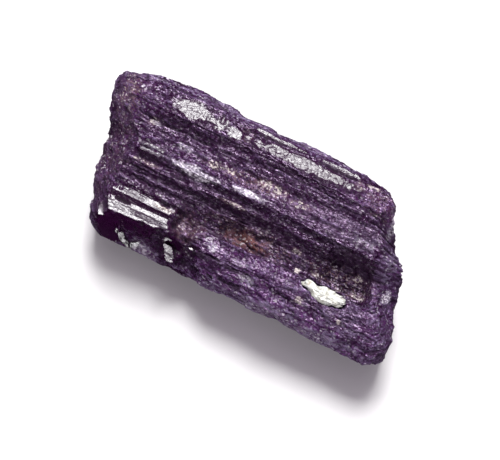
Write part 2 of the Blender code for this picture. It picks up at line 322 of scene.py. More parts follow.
def new_piece(
    name: str, points: Array, faces: list[list[int]], masks: Masks, material: bpy.types.Material
) -> bpy.types.Object:
    """Makes one mesh object at the origin, shaded smooth, and flat where it is cleaved.

    Args:
        name: The piece's name.
        points: Its points in metres.
        faces: The corners of each face.
        masks: Numbers that the mesh carries at its points, by name.
        material: Its material.

    Returns:
        The object.
    """
    mesh = bpy.data.meshes.new(name)
    mesh.from_pydata(points, [], faces)
    for label, values in masks.items():
        layer = mesh.attributes.new(label, "FLOAT", "POINT")
        layer.data.foreach_set("value", np.ascontiguousarray(values, np.float32))
    corner, first = np.zeros(len(mesh.loops), np.int32), np.zeros(len(mesh.polygons), np.int32)
    mesh.loops.foreach_get("vertex_index", corner)
    mesh.polygons.foreach_get("loop_start", first)
    cleaved = masks.get("cleaved", np.zeros(len(points)))
    mesh.polygons.foreach_set("use_smooth", np.minimum.reduceat(cleaved[corner], first) < 0.9)
    mesh.materials.append(material)
    mesh.update()
    piece = bpy.data.objects.new(name, mesh)
    bpy.context.scene.collection.objects.link(piece)
    return piece


# ---- Shader nodes ----


class Value:
    """A socket that carries a number. The operators on it add Math nodes."""

    def __init__(self, sheet: "NodeSheet", socket: Socket) -> None:
        """Wraps one socket of the sheet."""
        self.sheet, self.socket = sheet, socket

    def _math(self, operation: str, first: Number, second: Number) -> "Value":
        """Adds one Math node for the operation on the two values."""
        node = self.sheet.add("Math", {"operation": operation}, {0: first, 1: second})
        return Value(self.sheet, node.outputs[0])

    def __add__(self, other: Number) -> "Value":
        """This plus the other."""
        return self._math("ADD", self, other)

    def __sub__(self, other: Number) -> "Value":
        """This less the other."""
        return self._math("SUBTRACT", self, other)

    def __rsub__(self, other: Number) -> "Value":
        """The other less this."""
        return self._math("SUBTRACT", other, self)

    def __mul__(self, other: Number) -> "Value":
        """This times the other."""
        return self._math("MULTIPLY", self, other)

    __radd__ = __add__
    __rmul__ = __mul__

    def at_most(self, other: Number) -> "Value":
        """The lesser of the two."""
        return self._math("MINIMUM", self, other)

    def at_least(self, other: Number) -> "Value":
        """The greater of the two."""
        return self._math("MAXIMUM", self, other)

    def rise(self, low: float, high: float) -> "Value":
        """An even rise from 0 to 1 as this goes from low to high.

        Args:
            low: Where the rise starts.
            high: Where it ends.

        Returns:
            The rise.
        """
        settings = {"interpolation_type": "SMOOTHSTEP"}
        node = self.sheet.add("MapRange", settings, {"Value": self, "From Min": low, "From Max": high})
        return Value(self.sheet, node.outputs[0])


class NodeSheet:
    """The nodes of one material, or of the world."""

    def __init__(self, owner: bpy.types.Material | bpy.types.World) -> None:
        """Gives the owner its nodes."""
        owner.use_nodes = True
        self.owner, self.tree = owner, owner.node_tree

    def add(self, kind: str, settings: dict | None = None, inputs: dict | None = None) -> bpy.types.Node:
        """Adds a node, gives it its settings, then its values and links.

        Args:
            kind: The node's type, after "ShaderNode".
            settings: Attributes of the node.
            inputs: What goes to its inputs, by their names or numbers.

        Returns:
            The node.
        """
        node = self.tree.nodes.new("ShaderNode" + kind)
        for name, setting in (settings or {}).items():
            setattr(node, name, setting)
        self.feed(node, inputs or {})
        return node

    def feed(self, node: bpy.types.Node, inputs: dict) -> None:
        """Links each socket or Value to its input of the node, and sets any plain number or colour there.

        Args:
            node: The node.
            inputs: What goes to its inputs, by their names or numbers.
        """
        for name, value in inputs.items():
            source = value.socket if isinstance(value, Value) else value
            if isinstance(source, Socket):
                self.tree.links.new(source, node.inputs[name])
            else:
                node.inputs[name].default_value = source

    def vector(self, operation: str, first: object, second: object) -> Socket:
        """The outcome of one Vector Math node: a number for a dot product, and otherwise a vector."""
        node = self.add("VectorMath", {"operation": operation}, {0: first, 1: second})
        return node.outputs["Value" if operation == "DOT_PRODUCT" else "Vector"]

    def place(self, stretch: Vec = (1, 1, 1)) -> Socket:
        """The point on the object in millimetres, each axis divided by its stretch."""
        way = self.add("TexCoord").outputs["Object"]
        return self.vector("MULTIPLY", way, tuple(1 / (MM * longer) for longer in stretch))

    def noise(self, size: float, detail: float = 2.0, stretch: Vec = (1, 1, 1)) -> Value:
        """Noise from about 0 to 1.

        Args:
            size: Size of the lumps in millimetres, before the stretch.
            detail: How many finer layers there are.
            stretch: How much longer the lumps are along each axis.

        Returns:
            The noise.
        """
        inputs = {"Vector": self.place(stretch), "Scale": 1 / size, "Detail": detail}
        return Value(self, self.add("TexNoise", None, inputs).outputs["Fac"])

    def broken(self, crumbs: Crumbs, **settings: str) -> bpy.types.Node:
        """The node of the broken cells."""
        inputs = {"Vector": self.place(crumbs.stretch), "Scale": 1 / crumbs.size}
        return self.add("TexVoronoi", settings, inputs)

    def cells(self, crumbs: Crumbs) -> Value:
        """A random number from 0 to 1 for each broken cell."""
        colour = self.broken(crumbs).outputs["Color"]
        return Value(self, self.add("SeparateColor", None, {0: colour}).outputs[1])

    def gaps(self, crumbs: Crumbs) -> Value:
        """How far each point is from the edge of its cell, in cell sizes."""
        return Value(self, self.broken(crumbs, feature="DISTANCE_TO_EDGE").outputs["Distance"])

    def facets(self, crumbs: Crumbs) -> Value:
        """The height of the cells as flat facets that tilt at random.

        Height = twice the cell's random slopes times the way from its middle.

        Args:
            crumbs: The cells.

        Returns:
            The height in millimetres.
        """
        cells = self.broken(crumbs)
        off = self.vector("SUBTRACT", self.place(crumbs.stretch), cells.outputs["Position"])
        slopes = self.vector("SUBTRACT", cells.outputs["Color"], (0.5, 0.5, 0.5))
        return Value(self, self.vector("DOT_PRODUCT", off, slopes)) * 2

    def mask(self, name: str) -> Value:
        """A number that the mesh carries at its points."""
        settings = {"attribute_type": "GEOMETRY", "attribute_name": name}
        return Value(self, self.add("Attribute", settings).outputs["Fac"])

    def mix(self, first: object, second: object, share: Number) -> Socket:
        """The first colour, going over to the second as the share goes from 0 to 1."""
        return self.add("Mix", {"data_type": "RGBA"}, {0: share, 6: first, 7: second}).outputs[2]

    def bump(self, height: Value) -> Socket:
        """The normal of a surface raised by a height in millimetres."""
        return self.add("Bump", None, {"Height": height, "Distance": MM, "Strength": 1.0}).outputs[0]

    def finish(self, **fed: object) -> bpy.types.Material:
        """Feeds the shader's sockets, each named with _ for a space, and returns the material."""
        self.feed(self.tree.nodes["Principled BSDF"], {name.replace("_", " "): fed[name] for name in fed})
        return self.owner

    def mix_in(self, share: Value, **constants: object) -> bpy.types.Material:
        """Mixes a second shader over the first, with the same colour, roughness and normal.

        Args:
            share: How much of the second shader there is.
            constants: Its sockets that don't change over the surface, each named with _ for a space.

        Returns:
            The material.
        """
        shader = self.tree.nodes["Principled BSDF"]
        shared = ("Base Color", "Roughness", "Normal")
        inputs = {name: shader.inputs[name].links[0].from_socket for name in shared}
        inputs.update({name.replace("_", " "): value for name, value in constants.items()})
        second = self.add("BsdfPrincipled", None, inputs)
        mixed = self.add("MixShader", None, {0: share, 1: shader.outputs[0], 2: second.outputs[0]})
        self.feed(self.tree.nodes["Material Output"], {"Surface": mixed.outputs[0]})
        return self.owner


# ---- Finishes ----


@dataclass(frozen=True)
class TourmalineFinish:
    """Black tourmaline: near-black violet glass, smooth on its faces, broken and dusty where it is crushed.

    Crumbs of two sizes, chip and grit, break up its colour and raise small tilted facets; shade is painted
    into the gaps between the crumbs, and white glints are painted on some. The masks say where it is
    polished, crushed, rusty, crusted, matte or pitted; where it is hazy, partly with bloom and partly with
    painted light; where a sheen is painted; where shade is painted darker; where shade and grime are painted
    into its hollows and cracks; and where a highlight is painted along its lips.
    """

    deep: Colour = (0.026, 0.0015, 0.028, 1)
    body: Colour = (0.092, 0.022, 0.116, 1)
    bloom_and_highlight: Colour = (0.240, 0.165, 0.315, 1)
    painted_glint: Colour = (0.780, 0.720, 0.800, 1)
    grime_and_shade: Colour = (0.007, 0.0004, 0.008, 1)
    painted_sheen: Colour = (0.420, 0.400, 0.520, 1)
    dust: Colour = (0.210, 0.125, 0.105, 1)
    rust: Colour = (0.180, 0.058, 0.042, 1)
    stain: Colour = (0.240, 0.150, 0.110, 1)
    crust: Colour = (0.78, 0.70, 0.65, 1)
    inner: Colour = (0.90, 0.66, 0.98, 1)
    refraction: float = 1.62
    chip: Crumbs = Crumbs(0.23, (1.9, 1, 1))
    grit: Crumbs = Crumbs(0.14, (1.5, 1, 1))
    chip_height: float = 0.26
    grit_height: float = 0.28

    def make(self) -> bpy.types.Material:
        """Builds the material.

        Returns:
            The material, which reads its masks from the mesh.
        """
        sheet = NodeSheet(bpy.data.materials.new("tourmaline_skin"))
        names = ("polish", "crush", "haze_and_painted_light", "rust", "crust", "matte", "hollow", "lip", "painted_sheen", "painted_shade", "pits")
        polish, crush, haze_and_painted_light, rust, crust, matte, hollow, lip, painted_sheen, painted_shade, pits = map(sheet.mask, names)
        cloud, speckle, fleck = sheet.noise(1.4, 3.0, (2, 1, 1)), sheet.noise(0.25), sheet.noise(0.13, 1.0)
        chips, crumbs = sheet.cells(self.chip), sheet.cells(self.grit)
        dull = 1 - polish
        # Less lightening where shade is painted.
        clear = (1 - painted_shade * 0.55) * dull

        # Lighter where hazy, which is partly bloom and partly painted light, and a painted highlight along
        # the lips.
        haze_and_highlight_share = (cloud.rise(0.30, 0.62) * 0.5 + 0.5) * haze_and_painted_light + lip * 0.4
        body = sheet.mix(self.deep, self.body, haze_and_highlight_share * clear)
        # Pale bloom in flecks, and a painted highlight along the lips.
        pale = chips.rise(0.45, 1.0) * (0.35 + haze_and_painted_light * 0.65) * speckle.rise(0.25, 0.6) * clear + lip * 0.6
        body = sheet.mix(body, self.bloom_and_highlight, pale * dull)
        body = sheet.mix(body, self.dust, crush * crumbs.rise(0.35, 0.9) * 0.75)
        body = sheet.mix(body, self.rust, rust * sheet.noise(0.35, 3.0).rise(0.30, 0.52))
        # Painted sheen: a pale bluish reflection painted into the colour.
        body = sheet.mix(body, self.painted_sheen, painted_sheen * chips.rise(0.1, 0.8) * 0.5)
        body = sheet.mix(body, self.stain, crust.rise(0.05, 0.6) * speckle.rise(0.36, 0.6) * 0.28)
        # Painted shade, partly grime: near-black painted into the gaps between the crumbs, into hollows and
        # into cracks.
        split = (1 - sheet.gaps(self.chip).rise(0.03, 0.14)).at_least(1 - crumbs.rise(0.10, 0.22))
        cake = (crust * 0.8 + crumbs * 0.45 + fleck * 0.3).rise(0.86, 1.0) * (1 - split * (1.1 - crust))
        body = sheet.mix(body, self.crust, cake)
        dark = split * dull * (1 - crust) * (1 - painted_sheen * 0.5) * (0.85 - haze_and_painted_light * 0.3)
        body = sheet.mix(body, self.grime_and_shade, hollow * 0.85 + dark)
        # Painted highlights: white glints painted into the colour, in the painted sheen and scattered over
        # the dull crystal.
        body = sheet.mix(body, self.painted_glint, painted_sheen.rise(0.3, 0.7) * (split * 0.3 + crumbs.rise(0.58, 0.72)))
        among = sheet.noise(0.9).rise(0.46, 0.62) * (0.4 + haze_and_painted_light * 0.6) + crush * 0.5
        body = sheet.mix(body, self.painted_glint, crumbs.rise(0.87, 0.96) * among * dull * (1 - hollow) * 0.75)

        rough = 0.14 + speckle.rise(0.3, 0.7) * 0.14 - polish * (0.02 - pits * 0.09) + matte * 0.2
        rough = (rough + crust * 0.3 + rust * 0.15 + hollow * 0.65 + painted_shade * 0.1).at_most(0.9)

        height = sheet.facets(self.chip) * self.chip_height + sheet.facets(self.grit) * self.grit_height
        height = (height + sheet.noise(0.16, 3.0, (9, 1, 1)) * 0.04) * (dull * 0.9 + 0.1)
        height = height + sheet.noise(0.36, 1.0) * (0.015 + pits * 0.075) * polish + sheet.noise(0.05) * 0.005
        sheet.finish(Base_Color=body, Roughness=rough, Normal=sheet.bump(height), IOR=self.refraction)
        return sheet.mix_in(dull, IOR=self.refraction, Specular_Tint=self.inner)


@dataclass(frozen=True)
class GrainFinish:
    """A dull cream-white mineral with a sugary break."""

    light: Colour = (0.84, 0.85, 0.79, 1)
    shade: Colour = (0.55, 0.54, 0.47, 1)
    stain: Colour = (0.36, 0.25, 0.12, 1)
    sugar: Crumbs = Crumbs(0.3, (1, 1, 1))
    refraction: float = 1.54

    def make(self) -> bpy.types.Material:
        """Builds the material.

        Returns:
            The material.
        """
        sheet = NodeSheet(bpy.data.materials.new("pale_mineral_skin"))
        body = sheet.mix(self.shade, self.light, sheet.noise(0.45, 3.0).rise(0.32, 0.56))
        body = sheet.mix(body, self.stain, sheet.noise(0.7).rise(0.62, 0.75) * 0.5)
        height = sheet.facets(self.sugar) * 0.35 + sheet.noise(0.08, 3.0) * 0.03
        return sheet.finish(Base_Color=body, Roughness=0.42, Normal=sheet.bump(height), IOR=self.refraction)


@dataclass(frozen=True)
class FloorFinish:
    """A plain pale floor."""

    colour: Colour = (0.80, 0.79, 0.79, 1)

    def make(self) -> bpy.types.Material:
        """Builds the material."""
        return NodeSheet(bpy.data.materials.new("floor_paper")).finish(Base_Color=self.colour, Roughness=0.9)


# ---- The crystal ----

# Every long edge of the crystal, in order round it: up the back, over the top to the front, down to the base.
# Each runs from left to right through points (x, y, z), and keeps level past its last ones.
EDGES: dict[str, Line] = {
    "base_back": ((-15, 4.3, 0), (0, 5, 0), (13, 4.5, 0)),
    "back_low": ((-16, 6.4, 2.8), (-8, 7.5, 2.6), (4, 7.2, 2.8), (13, 6.6, 2.9)),
    "back_rib": ((-16.6, 7, 5.1), (-8, 8.25, 5.1), (4, 7.9, 5.3), (13, 7, 5.2)),
    "back_rib_top": ((-16.8, 6.6, 5.5), (-8, 7.75, 5.6), (4, 7.45, 5.8), (13, 6.7, 5.6)),
    "back_wide": ((-17.7, 7.1, 8.2), (-14, 8.1, 8.8), (-11, 8.6, 9), (-6.4, 8.5, 9.2), (-4.5, 8.1, 9),
        (6, 8.2, 9), (8, 7.9, 8.9), (12.6, 7.5, 8.6)),
    "back_high": ((-17.8, 6.9, 10.2), (-14, 7.5, 11.3), (-11, 7.7, 11.7), (-6, 7.6, 11.8), (-4.5, 7.3, 11.8),
        (6, 7.35, 11.8), (8, 7.2, 11.6), (12.5, 6.8, 11.2)),
    "ridge_rear": ((-16, 6.2, 12.36), (-14, 6.6, 12.86), (-11.8, 6.3, 13.16), (6, 6.3, 13.06),
        (9, 6.2, 12.86), (12.6, 6, 12.36)),
    "band_rear": ((-16, 5.65, 12.2), (-14, 6.05, 12.8), (-11.8, 5.85, 13.2), (-2.6, 5.75, 13.12),
        (9, 5.75, 13), (13, 5.45, 12.5)),
    "band_front": ((-15.6, 4.3, 12.3), (-14, 4.2, 13), (-11.5, 3.85, 13.4), (-7.6, 3.8, 13.4),
        (-4, 3.95, 13.2), (-2.4, 3.9, 13.4), (8.8, 3.9, 13.3), (13.6, 3.7, 12.8)),
    "band_foot": ((-15.6, 3.9, 11.9), (-14, 3.7, 12.5), (-11.5, 3.55, 12.8), (8.8, 3.55, 12.75),
        (13.8, 3.3, 12.4)),
    "upper_shelf_rear": ((-15, 3.25, 11.8), (-13, 2.95, 12.3), (-8, 2.85, 12.6), (6, 2.9, 12.75),
        (13.7, 2.85, 12.5)),
    "upper_shelf_groove": ((-15, 3, 11.7), (-12, 2.9, 12.15), (-6, 2.8, 12.4), (0, 2.75, 12.5),
        (6, 2.8, 12.3), (13.6, 2.7, 12.1)),
    "upper_shelf_front": ((-14.5, 2.4, 11.5), (-12.5, 2.2, 12.2), (0, 2.2, 12.5), (6, 2.25, 12.35),
        (13.7, 2.1, 12)),
    "upper_shelf_foot": ((-14.5, 2, 11.3), (-12.5, 1.9, 11.8), (0, 1.85, 12), (6, 1.85, 12),
        (14.3, 1.8, 11.6)),
    "middle_shelf": ((-13.9, 0.8, 11.4), (-9, 0.8, 11.9), (0, 0.8, 12.05), (8, 0.8, 12), (14.6, 0.7, 11.7)),
    "middle_front": ((-13.2, -0.3, 11.4), (-9, -0.4, 11.8), (-4, -0.35, 12), (2, -0.35, 12), (10, -0.55, 12),
        (14.7, -0.5, 11.6)),
    "middle_foot": ((-13.1, -0.8, 10.92), (-9, -0.85, 11.12), (-2, -0.75, 11.22), (8, -0.8, 11.12),
        (14.8, -0.75, 11.02)),
    "second_front": ((-13.1, -1.6, 10.8), (-9, -1.6, 10.9), (-2, -1.45, 11), (9.2, -1.35, 10.7),
        (10.1, -1, 9.6), (13.6, -1, 9.6), (14.9, -1.5, 10.4)),
    "second_foot": ((-13.1, -1.95, 10.3), (-9, -2, 10.3), (-4, -2, 10.1), (9.2, -1.9, 9.7),
        (10.1, -1.35, 8.3), (13.6, -1.4, 8.3), (14.9, -2.1, 10.1)),
    "third_front": ((-13.1, -2.6, 10.15), (-9, -2.55, 10.15), (-4, -2.5, 9.9), (4, -2.5, 9.6),
        (8.8, -2.4, 9.1), (9.9, -2.1, 7.7), (13.6, -2.2, 7.7), (15, -2.8, 9.8)),
    "third_foot": ((-13.2, -2.9, 9.78), (-9, -2.85, 9.73), (-4, -2.8, 9.38), (0, -2.8, 9.08),
        (8, -2.9, 8.68), (9.6, -2.9, 7.58), (13.8, -3, 7.58), (15.1, -3.4, 9.68)),
    "fourth_front": ((-13.3, -3.65, 9.7), (-6.55, -3.65, 9.6), (-5.6, -3.5, 8.9), (-3.3, -3.4, 8.6),
        (8, -3.5, 8.3), (9.6, -3.6, 7.5), (13.9, -3.7, 7.6), (15.2, -4, 9.4)),
    "fourth_foot": ((-13.35, -3.95, 9.25), (-6.55, -3.95, 9.2), (-5.6, -4, 8.4), (-3.3, -4.15, 8.3),
        (8, -4.1, 8.2), (9.6, -4.15, 7.8), (14, -4.2, 7.8), (15.4, -4.5, 9.2)),
    "narrow_strip_front": ((-13.4, -4.75, 9.35), (-6.3, -4.75, 9.35), (-5.95, -4.7, 8.3), (-4.5, -4.6, 8),
        (-3.3, -4.6, 8.9), (0, -4.6, 9.1), (8, -4.55, 9.1), (14, -4.7, 8.9), (16.2, -5, 9.1)),
    "narrow_strip_foot": ((-13.4, -5.22, 8.9), (-6.4, -5.02, 8.9), (-6.05, -5.2, 8), (-4.5, -5.5, 7.8),
        (-3.3, -5.8, 8.8), (8, -6, 8.95), (16.8, -6.1, 8.85)),
    "wide_strip_front": ((-12.6, -6.78, 9.1), (-9.2, -6.58, 9.1), (-5.8, -6.42, 9.05), (-5.5, -6.3, 7.5),
        (-4.5, -6.2, 7), (-3.3, -6.4, 7.9), (-2.4, -6.7, 8.6), (8, -6.8, 8.6), (17.5, -6.8, 8.5)),
    "ledge_step_foot": ((-12.6, -6.93, 8.6), (-9.2, -6.73, 8.6), (-5.8, -6.57, 8.55), (-5.5, -6.45, 7.1),
        (-4.5, -6.35, 6.6), (-3.3, -6.6, 7.5), (-2.4, -6.95, 8.3), (8, -7.05, 8.3), (17.5, -7, 8.2)),
    "lower_step_lip": ((-12.8, -7.2, 7.2), (-6.35, -7, 7.2), (-6, -6.6, 6.5), (-4.5, -6.6, 6.2),
        (-3.3, -6.9, 6.6), (-2.4, -7.5, 7.7), (3, -7.8, 7.95), (8, -7.8, 7.9), (17.5, -7.8, 7.7)),
    "lower_step_foot": ((-12.8, -7.35, 6.6), (-6.55, -7.15, 6.6), (-6.15, -6.75, 6.25), (-4.5, -6.85, 5.9),
        (-3.3, -7.1, 5.9), (-2.4, -7.7, 7.3), (3, -8.05, 7.65), (8, -8.05, 7.6), (17.5, -8, 7.4)),
    "black_face_foot": ((-14, -7.5, 5.2), (-6.55, -7.5, 5.3), (-6.15, -7.9, 6), (-4.8, -8, 5.9),
        (-4.2, -7.3, 5), (-3, -7.4, 5.2), (-1.8, -8.3, 6.8), (3, -8.55, 7.1), (17.5, -8.5, 6.9)),
    "front_wide": ((-14, -8.3, 3.9), (-6.8, -8.35, 4.2), (-5.2, -8.3, 5), (-4, -8.1, 4), (-2.6, -8.3, 4.6),
        (-1.2, -8.95, 5.5), (1.5, -8.5, 6), (4, -8.6, 6), (10, -8.85, 6), (16, -9.2, 5.7)),
    "front_low": ((-14.3, -7.6, 2.2), (-12.5, -7.8, 2.4), (-6, -7.8, 2.4), (0, -8, 2.5), (12, -8.2, 2.5),
        (17, -7.9, 2.6)),
    "base_front": ((-14.6, -4.6, 0), (0, -5.3, 0), (16.2, -5, 0)),
}


@dataclass
class BrokenEnd:
    """A broken end of the crystal: a plane that leans back over its knee, torn into lumps, plates and ribs.

    The knee's places are tables over y. A lump, grit, plate or chip is its height and its size.
    """

    knee_x: tuple[tuple[float, float], ...]
    knee_z: tuple[tuple[float, float], ...]
    lean_over: float
    lean_under: float
    seed: int
    ribs: float = 0.0
    lump: tuple[float, float] = (0.26, 1.7)
    grit: tuple[float, float] = (0.15, 0.75)
    plate: tuple[float, float] = (0.13, 0.7)
    chip: tuple[float, float] = (0.07, 0.36)
    middle: tuple[float, float] = (1.8, 5.0)
    rings: int = 27
    rib_pitch: float = 0.46
    knee_height: float = 1.5

    def plane(self, y: Array, z: Array) -> Array:
        """Where the end stands along X, smooth: x of the knee + lean times the way from the knee.

        Args:
            y: Where the points are across the crystal.
            z: How high the points are.

        Returns:
            One x for each point.
        """
        knee_x = np.interp(y, *np.array(self.knee_x).T)
        knee_z = np.interp(y, *np.array(self.knee_z).T)
        over, under = np.maximum(z - knee_z, 0), np.maximum(knee_z - z - self.knee_height, 0)
        return knee_x + self.lean_over * over + self.lean_under * under

    def roughness(self, y: Array, z: Array) -> Array:
        """How far the torn surface stands off the plane: lumps + grit + tilted plates + chips + ribs along X.

        Args:
            y: Where the points are across the crystal.
            z: How high the points are.

        Returns:
            One way for each point.
        """
        kinds = ((lattice, self.lump), (lattice, self.grit), (plates, self.plate), (plates, self.chip))
        rough = 0.0
        for number, (kind, (height, size)) in enumerate(kinds):
            rough = rough + height * kind(y / size, z / size, self.seed + number)
        rib = np.abs((y / self.rib_pitch + 0.25 * np.sin(z * 1.3)) % 1 - 0.5) * 2
        among = smooth((2.2 - np.abs(y + 0.2)) / 0.8) * smooth((z - 8.5) / 0.6)
        return rough + self.ribs * (rib - 0.5) * among

    def close(self, rim: Array) -> Array:
        """The rings that close the end, from just inside the rim to a point at its middle.

        A ring = the middle + a shrinking share of the way to the rim, with the rim's directions turned so
        that they only ever go round. Its x = the plane + the roughness + what the rim stands off them, which
        fades inwards.

        Args:
            rim: The loft's last ring as (line, xyz).

        Returns:
            Points as (ring, line, xyz). The last ring is all one point.
        """
        arm = rim[:, 1:] - np.array(self.middle)
        angle = np.unwrap(np.arctan2(arm[:, 1], arm[:, 0]))
        least = 2e-4 * np.arange(len(angle))
        turned = np.maximum.accumulate(angle - least) + least
        turned = angle[0] + (turned - angle[0]) * min(1.0, (2 * math.pi - 2e-4) / (turned[-1] - turned[0]))
        inward = (np.arange(1, self.rings + 1) / self.rings)[:, None]
        direction = angle + (turned - angle) * smooth(inward / 0.12)
        reach = (1 - inward) * np.linalg.norm(arm, axis=1)
        y = self.middle[0] + reach * np.cos(direction)
        z = self.middle[1] + reach * np.sin(direction)
        off = rim[:, 0] - self.plane(rim[:, 1], rim[:, 2]) - self.roughness(rim[:, 1], rim[:, 2])
        x = self.plane(y, z) + self.roughness(y, z) + off * (1 - inward) ** 16
        return np.stack([x, y, z], axis=-1)


@dataclass
class Crystal:
    """The tourmaline crystal: a loft through its long edges, weathered, with a broken surface over each end.

    Its patches, cuts and facets lie on it as it is seen from above.
    """

    origin: Vec = (-0.156, 0.301, 0)
    breaks: tuple[float, ...] = (-11, -6.55, -6.15, -4.5, -3.3, -2.4, 8, 9.6, 10.6)
    station_step: float = 0.152
    end_stations: int = 44
    top_lines_per_mm: float = 10.5
    strip_lines_per_mm: float = 16.0
    back_lines_per_mm: float = 4.0
    base_lines_per_mm: float = 1.6
    ragged: float = 0.25
    nick: float = 0.10
    wobble: tuple[Vec, ...] = ((0.07, 1.1, 1.4), (0.035, 0.35, 0.4))
    calm_block: tuple[float, float, float] = (-13.4, -6.5, -3.8)
    splinter: Vec = (0.17, 0.62, 3.6)
    lump: tuple[float, float] = (0.16, 2.3)
    strands: Vec = (0.025, 0.15, 2.2)
    rubble_size: float = 0.75
    plate_layers: tuple[PlateLayer, ...] = each(
        PlateLayer,
        (0.055, 2.6, 0.36, 51, 0.8, 0.12, 1, 0.2), (0.05, 1.2, 0.75, 56, 1.2, 0, 1, 1),
        (0.03, 0.95, 0.22, 52, 0.9, 0, 1, 1), (0.07, 0.62, 0.42, 54, 1, 0, 0, 1),
        (0.04, 0.3, 0.24, 55, 1, 0, 0, 1),
    )
    rubble: tuple[Patch, ...] = each(
        Patch,
        (-4.6, -4.9, 2, 1.6, 0.36), (1, -3, 3.4, 1.1, 0.3), (11.2, -2.9, 3, 1.6, 0.36),
        (-1.6, 1.2, 5, 1, 0.26), (-15.6, 4.6, 1.9, 2.2, 0.26), (11.8, 4.6, 2.2, 1.6, 0.22),
        (9.5, -7.4, 9, 1.7, 0.14),
    )
    crushed: tuple[Patch, ...] = each(
        Patch,
        (-4.6, -4.9, 1.7, 1.7, 0.5), (1.5, -3.2, 4.4, 1, 0.9), (11.2, -2.9, 3.2, 1.1, 1),
        (-1, 1.3, 4.4, 0.7, 0.8), (-15.8, 4.4, 1.6, 2, 0.9), (-15.2, -0.5, 1.8, 4.8, 0.45),
        (-3.2, 5, 0.8, 0.9, 0.6), (11.6, 4.8, 2, 1.4, 0.6),
    )
    # Haze: partly the crystal's dusty bloom and partly painted light, lightening faces that get little light
    # from the lamps.
    haze_and_painted_light_patches: tuple[Patch, ...] = each(
        Patch,
        (3, -6.2, 6.5, 2, 0.6), (13, -6.2, 5.5, 2, 0.35), (7, -8.6, 10.5, 1.3, 1.3),
        (-8.9, -7.9, 2.2, 0.6, 1), (-1, 1, 12.5, 1.2, 0.35), (10.5, 1.2, 4.5, 1.7, 0.15),
        (15.6, 0.3, 1.2, 2.2, 1), (11, 4.6, 2.8, 1.3, 0.8), (-3, 7.1, 13, 0.8, 0.8),
        (-15.5, 4.5, 2.5, 2.5, 1), (-15, -2, 2.4, 5.5, 0.55), (16.5, -3.5, 1.8, 5.5, 0.7),
    )
    # Painted sheen: places where bluish and whitish reflections are painted into the colour.
    painted_sheen_patches: tuple[Patch, ...] = each(
        Patch,
        (-3, 7.2, 13, 0.6, 0.35), (-8.3, 1.6, 1, 0.35, 0.55), (12.2, 0.6, 1.1, 0.5, 0.42),
        (16.2, -2.5, 0.4, 0.8, 0.65), (-11.9, 2.6, 0.6, 0.3, 0.6), (2.9, -7, 0.9, 0.5, 0.45),
        (-6.4, -0.2, 2.5, 0.5, 0.75), (-0.2, 0.1, 2.3, 0.38, 0.7), (13.9, 3.6, 0.35, 1.6, 0.5),
        (15.3, 0.4, 0.8, 1.9, 0.38), (13, -6.2, 5.5, 2.2, 0.22), (10.5, 1, 4.5, 1.5, 0.14),
        (-8.5, -7.85, 1.6, 0.4, 0.55), (7, -8.6, 10.5, 0.55, 0.4), (-1.4, -5.6, 0.6, 0.45, 0.65),
        (-2.3, -5, 0.4, 0.3, 0.55), (1.5, -5.9, 1.2, 0.25, 0.45), (-11.2, 0, 1.3, 0.4, 0.25),
    )
    pitted: tuple[Patch, ...] = each(
        Patch,
        (-10, 5, 8, 2.4, 0.8), (5, 4.75, 9, 1.15, 1.2), (-9.5, -5.8, 4.5, 1, 0.45), (-14.1, -6, 0.5, 0.5, 2),
        (3, 6.25, 6.5, 0.35, 0.9), (-3.5, 0, 7, 0.9, 1.2), (-8.8, -5.94, 1.9, 0.28, 1.8),
        (-11.8, -5.8, 1.2, 0.5, 0.7), (-11, -4.4, 1.4, 0.4, 1.2),
    )
    # Painted shade: darker colour where the faces lie in shade.
    painted_shade_patches: tuple[Patch, ...] = each(
        Patch,
        (-9, -2.1, 5.4, 1.7, 1), (0.5, -2.1, 6, 1, 1), (0, 2.9, 15, 0.9, 0.4), (-3.1, 4.9, 0.5, 0.8, 0.9),
        (-14, 5, 1.6, 1, 0.8), (-4.6, -5, 1.6, 1.2, 0.3), (9, 0.9, 6, 1.3, 1), (-15, 6.7, 1.7, 0.9, 0.8),
        (-6, 1.6, 3, 0.5, 0.6), (12.1, -1.6, 2.3, 0.9, 1),
    )
    rusty: tuple[Patch, ...] = each(Patch, (1.1, -3.6, 2, 0.75, 1), (0.2, 1.6, 0.8, 0.3, 0.3))
    crusted: tuple[Patch, ...] = each(
        Patch,
        (-4.9, 1.3, 0.75, 0.4, 0.82), (-3.3, 1.35, 1.3, 0.4, 0.65), (1.4, 1.65, 1.7, 0.45, 0.66),
        (0.9, 1.75, 0.45, 0.25, 0.8), (2.3, 1.55, 0.4, 0.25, 0.78), (4.4, 1.3, 1.4, 0.5, 0.52),
        (-12.2, 2.6, 0.6, 0.4, 0.72), (-11.4, -1.2, 1.6, 0.25, 0.62), (-1.5, -1.3, 2, 0.2, 0.6),
        (7.05, -3.85, 0.35, 0.28, 1), (6.2, -2.4, 0.6, 0.3, 0.66), (8.5, -6.65, 0.6, 0.35, 0.78),
        (13, -6.85, 0.26, 0.2, 1), (12.9, -1.95, 0.6, 0.35, 0.68), (13.5, -3.5, 0.7, 0.35, 0.72),
        (9, -3.4, 0.8, 0.35, 0.58), (-4.6, -4.9, 1.6, 1.3, 0.4), (1.2, -3.6, 2, 0.7, 0.46),
        (10.3, 6, 0.8, 0.28, 0.78), (9.2, 5.4, 0.5, 0.5, 0.55), (12, 3.5, 1, 0.2, 0.6),
        (-16.2, 4.6, 1, 1.2, 0.5), (-7.9, -4.35, 1.3, 0.3, 0.62),
    )
